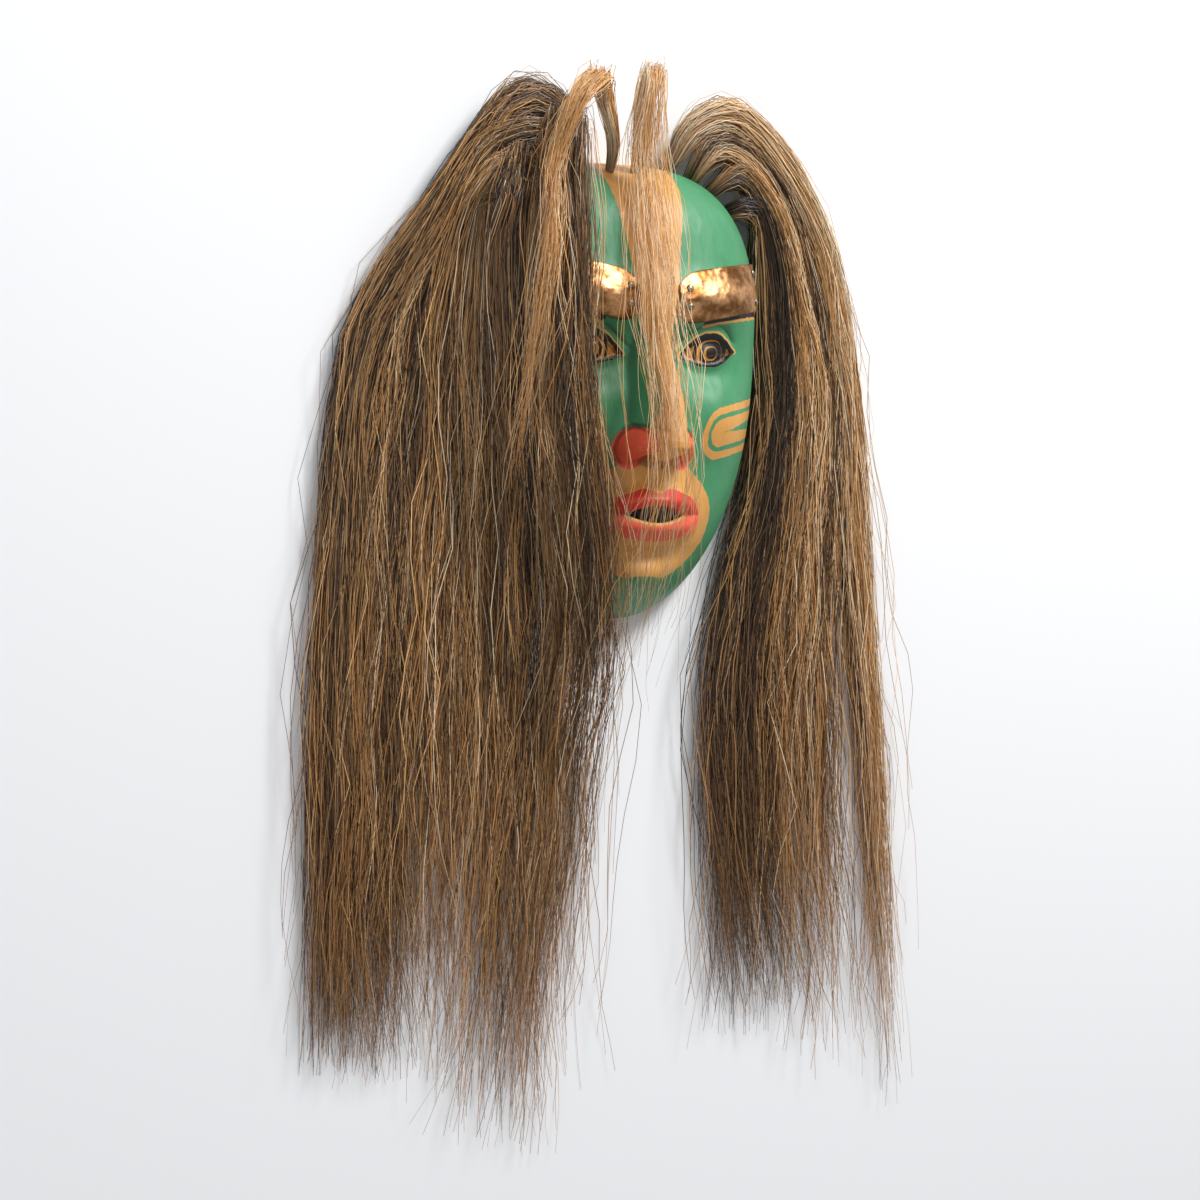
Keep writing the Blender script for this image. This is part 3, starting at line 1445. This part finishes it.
    def node_shares(self, count: int, rng: np.random.Generator) -> np.ndarray:
        """Shares of a strand's length at its nodes, closer together at the arch and at the tip.

        Args:
            count: Number of strands.
            rng: Source of chance.

        Returns:
            A row of shares from 0 to 1 for each strand.
        """
        step = np.arange(self.nodes + 1)[None, :] + np.zeros((count, 1))
        step[:, 1:-1] += rng.uniform(-0.45, 0.45, count)[:, None]
        even = (step / self.nodes) ** 1.1
        return even - 0.055 * np.sin(2 * math.pi * even)

    def strand_ends(self, lock: Lock, owner: np.ndarray, clumps: int,
                    rng: np.random.Generator) -> np.ndarray:
        """Share of the lock's length at which each strand stops.

        Args:
            lock: The bundle.
            owner: Clump that each strand belongs to.
            clumps: Number of clumps.
            rng: Source of chance.

        Returns:
            One share for each strand.
        """
        ends = 1.03 - 0.06 * rng.uniform(0, 1, clumps)[owner]
        ends -= lock.short * rng.uniform(0, 1, lock.strands) ** lock.ending
        broken = rng.uniform(0, 1, lock.strands) < self.broken_share
        ends *= np.where(broken, rng.uniform(0.5, 0.9, lock.strands), 1.0)
        stubs = rng.uniform(0, 1, lock.strands) < lock.stubs
        return np.where(stubs, rng.uniform(0.12, 0.17, lock.strands), ends)

    def clump_swing(self, owner: np.ndarray, clumps: int, reach: np.ndarray,
                    rng: np.random.Generator) -> np.ndarray:
        """Slow sideways sway that the strands of a clump share.

        Args:
            owner: Clump that each strand belongs to.
            clumps: Number of clumps.
            reach: Length so far at each node.
            rng: Source of chance.

        Returns:
            Shifts across the lock.
        """
        pitch = rng.uniform(110, 280, clumps)[owner][:, None]
        phase = rng.uniform(0, 1, clumps)[owner][:, None]
        return rng.uniform(0.8, 5.0, clumps)[owner][:, None] * np.sin(2 * math.pi * (reach / pitch + phase))

    def loose_shift(self, stray: np.ndarray, reach: np.ndarray, share: np.ndarray,
                    rng: np.random.Generator) -> tuple[np.ndarray, np.ndarray]:
        """Each strand's own waves, its drift out of the lock and its curled end.

        Args:
            stray: Which strands fly well out of the lock.
            reach: Length so far at each node.
            share: Share of the strand's length at each node.
            rng: Source of chance.

        Returns:
            Shifts across the lock and out of it.
        """
        count = len(stray)
        loose = rng.gamma(1.2, 1.6, count) + np.where(stray, rng.uniform(5, 22, count), 0.0)
        drift = (loose * rng.choice([-1, 1], count))[:, None] * smooth(0.05, 0.9, share)
        wave = (rng.uniform(0.5, 4.4, count) * np.where(stray, 1.6, 1.0))[:, None] * smooth(0.04, 0.3, share)
        pitch = rng.uniform(85, 190, count)[:, None]
        phase = rng.uniform(0, 2 * math.pi, (2, count))[..., None]
        sway = wave * np.sin(2 * math.pi * reach / pitch + phase[0])
        bob = wave * np.sin(2 * math.pi * reach / pitch + phase[1])
        curl = rng.standard_t(3, count).clip(-4.5, 4.5)[:, None] * 10.0 * smooth(0.62, 1.05, share) ** 2
        curl += rng.normal(0, 3.5, count)[:, None] * smooth(0.86, 1.03, share)
        kinks = rng.normal(0, 0.5, (2, count, self.nodes + 1)) * smooth(0.05, 0.3, share)
        kinks *= np.where(stray, 0.5, 1.0)[:, None]
        lifted = np.abs(drift + 0.3 * curl) * rng.uniform(-0.1, 0.6, count)[:, None]
        return sway + drift + curl + kinks[0], 0.6 * bob + lifted + kinks[1]

    def kept_clear(self, places: np.ndarray, share: np.ndarray, lock: Lock) -> np.ndarray:
        """Keeps strands off the face and the ground, and sets their roots into the wood.

        Args:
            places: Places by strand and node.
            share: Share of the strand's length at each node.
            lock: The bundle.

        Returns:
            The mended places.
        """
        x, y, z = places[..., 0], places[..., 1], places[..., 2]
        free = share > 0.05
        under = self.rest_height(x, y) + self.over_wood - z
        deep = free & (under > (60 if lock.fall is Fall.FORWARD else 12))
        grow = np.where(deep, 1.006 / np.maximum(self.carving.gauge(x, y), 0.2), 1.0)
        x = x * grow
        y = self.carving.widest + (y - self.carving.widest) * grow
        z = np.where(free & ~deep & (under > 0), z + under, z)
        z = np.maximum(z, self.over_ground + 0.2 * np.abs(np.sin(x * 3.1)))
        beyond = np.maximum(np.abs(x) - self.room, 0)
        x -= np.sign(x) * (beyond - self.room_eased * np.tanh(beyond / self.room_eased))
        return np.stack([x, y, z], axis=-1)

    def strand_mesh(self, lock: Lock) -> bpy.types.Object:
        """Makes one three-sided strand and repeats it for the whole lock, end to end.

        Args:
            lock: The bundle.

        Returns:
            A mesh whose vertices run strand by strand.
        """
        deselect()
        bpy.ops.mesh.primitive_cylinder_add(vertices=3, radius=1, depth=1, end_fill_type="NGON")
        strand = bpy.context.object
        bpy.ops.object.mode_set(mode="EDIT")
        bpy.ops.mesh.select_mode(type="EDGE")
        bpy.ops.mesh.select_all(action="DESELECT")
        bpy.ops.object.mode_set(mode="OBJECT")
        ends = read_points(strand)
        for edge in strand.data.edges:
            edge.select = abs(ends[edge.vertices[0], 2] - ends[edge.vertices[1], 2]) > 0.5
        bpy.ops.object.mode_set(mode="EDIT")
        bpy.ops.mesh.subdivide(number_cuts=self.nodes - 1)
        bpy.ops.object.mode_set(mode="OBJECT")
        apply_modifier(strand, "ARRAY", count=lock.strands, use_relative_offset=False,
                       use_constant_offset=True, constant_offset_displace=(4, 0, 0))
        return strand

    def map_tones(self, piece: bpy.types.Object, ring: np.ndarray, corner: np.ndarray,
                  tone: np.ndarray) -> None:
        """Lays each strand on a narrow band of the UV map, root at the bottom and tip at the top.

        Args:
            piece: The lock's mesh.
            ring: Node that each vertex belongs to.
            corner: Which of a strand's three sides it lies on.
            tone: Tone of each strand.
        """
        mesh = piece.data
        count = len(tone)
        loops = np.empty(len(mesh.loops), np.int32)
        mesh.loops.foreach_get("vertex_index", loops)
        per_strand = len(ring) // count
        each = loops // per_strand
        starts = np.empty(len(mesh.polygons), np.int32)
        totals = np.empty(len(mesh.polygons), np.int32)
        mesh.polygons.foreach_get("loop_start", starts)
        mesh.polygons.foreach_get("loop_total", totals)
        face = np.repeat(np.arange(len(starts)), totals)
        low = np.minimum.reduceat(corner[loops], starts)[face]
        high = np.maximum.reduceat(corner[loops], starts)[face]
        wraps = (high - low == 2) & (totals[face] == 4)
        right = np.where(wraps, corner[loops] == 0, corner[loops] == high)
        cap = totals[face] == 3
        band = np.floor(tone * self.bands)[each]
        u = np.where(cap, 0.2 + 0.3 * corner[loops], np.where(right, 0.9, 0.1))
        v = ring[loops] / self.nodes
        v = np.where(cap, np.where(v > 0.5, 0.99, 0.01) + 0.006 * (corner[loops] - 1), 0.02 + 0.96 * v)
        layer = mesh.uv_layers[0]
        layer.name = "OFBake"
        laid = np.stack([(band + u) / self.bands, v], axis=1)
        layer.data.foreach_set("uv", laid.astype(np.float32).ravel())

    def lock_piece(self, lock: Lock, finish: bpy.types.Material) -> bpy.types.Object:
        """Builds the strands of one lock.

        Args:
            lock: The bundle.
            finish: Its material.

        Returns:
            The finished piece.
        """
        rng = np.random.default_rng(self.seed + sum(map(ord, lock.name)))
        piece = self.strand_mesh(lock)
        flat = read_points(piece)
        per_strand = len(flat) // lock.strands
        pattern = flat[:per_strand]
        ring = np.rint((pattern[:, 2] - pattern[:, 2].min()) / np.ptp(pattern[:, 2]) * self.nodes).astype(int)
        angle = np.arctan2(pattern[:, 1], pattern[:, 0])
        corner = np.rint((angle - angle.min()) / (2 * math.pi / 3)).astype(int) % 3
        paths, across, tone = self.strand_paths(lock, rng)
        thickness = rng.uniform(*self.radii, lock.strands)[:, None] * lock.fine
        taper = lerp(1.0, self.tip_taper, smooth(0.75, 1.0, np.linspace(0, 1, self.nodes + 1)))[None, :]
        along = np.gradient(paths, axis=1)
        along /= np.linalg.norm(along, axis=2, keepdims=True)
        across = across - along * np.sum(across * along, axis=2, keepdims=True)
        across /= np.linalg.norm(across, axis=2, keepdims=True)
        outward = np.cross(along, across)
        radius = (thickness * taper)[:, ring, None]
        spin = rng.uniform(0, 2 * math.pi, lock.strands)[:, None] + (corner * 2 * math.pi / 3)[None, :]
        places = paths[:, ring] + radius * (np.cos(spin)[..., None] * across[:, ring]
                                            + np.sin(spin)[..., None] * outward[:, ring])
        write_points(piece, places.reshape(-1, 3) * MILLIMETRE + np.array(self.offset))
        self.map_tones(piece, np.tile(ring, lock.strands), np.tile(corner, lock.strands), tone)
        piece.data.polygons.foreach_set("use_smooth", np.ones(len(piece.data.polygons), bool))
        piece.name = f"hair_{lock.name}"
        piece.data.materials.clear()
        piece.data.materials.append(finish)
        return piece

    def build(self) -> list[tuple[bpy.types.Object, str, str]]:
        """Makes every lock.

        Returns:
            Each piece with the node that it replaces and its material slot.
        """
        finishes = {"brown_hair": Horsehair("brown_horsehair").material(),
                    "tan_hair": Horsehair("tan_horsehair").material()}
        made = []
        for lock in LOCKS:
            slot = "tan_hair" if lock.name in ("gold", "middle") else "brown_hair"
            made.append((self.lock_piece(lock, finishes[slot]), f"lock_{lock.name}", slot))
        return made


@dataclass
class Studio:
    """Pale floor, soft light and the camera that looks down on the mask."""

    offset: Vector
    distance: float = 1.55
    turn: float = math.radians(25)
    aim: tuple[float, float] = (-7.0, -125.0)
    view: float = 0.72
    lamps: tuple = (
        ("key", (0.75, 1.6, 1.35), 0.6, 49.0),
        ("fill", (-1.2, 0.3, 1.6), 1.6, 7.0),
        ("low", (0.8, -1.6, 1.3), 1.6, 3.0),
    )

    def target(self) -> Vector:
        """Point in the middle of the picture, on the floor."""
        return self.offset + Vector((self.aim[0], self.aim[1], 0)) * MILLIMETRE

    def floor(self) -> bpy.types.Object:
        """Plain pale floor, staged so that it isn't part of the object.

        Returns:
            The floor.
        """
        deselect()
        bpy.ops.mesh.primitive_plane_add(size=9, location=(0, 0, 0))
        ground = bpy.context.object
        ground.name = "floor"
        graph = Graph("pale_floor")
        tint = graph.span(graph.noise(graph.place(), 3.0, 2.0), 0.985, 1.0)
        colour = graph.shade((0.9, 0.905, 0.915, 1.0), tint)
        graph.surface(Base_Color=colour, Roughness=0.85, Specular_IOR_Level=0.2)
        ground.data.materials.append(graph.material)
        return ground

    def light(self) -> None:
        """Soft lamps aimed at the mask, and a pale surround."""
        for name, place, size, power in self.lamps:
            lamp = bpy.data.objects.new(name, bpy.data.lights.new(name, "AREA"))
            bpy.context.collection.objects.link(lamp)
            lamp.data.shape = "SQUARE"
            lamp.data.size = size
            lamp.data.energy = power
            lamp.location = self.target() + Vector(place)
            lamp.rotation_euler = (-Vector(place)).to_track_quat("-Z", "Y").to_euler()
        world = bpy.data.worlds.new("surround")
        world.use_nodes = True
        world.node_tree.nodes["Background"].inputs["Color"].default_value = (0.94, 0.96, 1.0, 1.0)
        world.node_tree.nodes["Background"].inputs["Strength"].default_value = 0.33
        bpy.context.scene.world = world
        bpy.context.scene.view_settings.view_transform = "Standard"

    def camera(self) -> None:
        """Camera that leans to the viewer's left of straight above, with +Y up in the picture."""
        back = Vector((-math.sin(self.turn), 0, math.cos(self.turn)))
        right = Vector((0, 1, 0)).cross(back)
        lens = bpy.data.cameras.new("camera")
        lens.sensor_width = 36
        lens.lens = 36 * self.distance / self.view
        lens.clip_start = 0.05
        eye = bpy.data.objects.new("camera", lens)
        bpy.context.collection.objects.link(eye)
        turned = Matrix((right, back.cross(right), back)).transposed().to_4x4()
        eye.matrix_world = Matrix.Translation(self.target() + back * self.distance) @ turned
        bpy.context.scene.camera = eye


def main() -> None:
    """Builds the mask, its plates, nails and hair, then the studio, and reports each piece."""
    logging.basicConfig(level=logging.INFO, format="%(message)s")
    low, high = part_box("mask")
    offset = Vector(((low.x + high.x) / 2, (low.y + high.y) / 2, 0))
    carving = Carving()
    pieces = [(MaskBody(carving, offset).build(), "mask", "painted_wood")]
    pieces += BrowPlates(carving, offset).build()
    pieces += HairFringe(carving, offset).build()
    for piece, node, slot in pieces:
        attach(piece, "root")
        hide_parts(node)
        faces = len(piece.data.polygons)
        LOG.info("%s stands for %s with %d faces", piece.name, node, faces)
    studio = Studio(offset)
    studio.floor()
    studio.light()
    studio.camera()


if __name__ == "__main__":
    main()
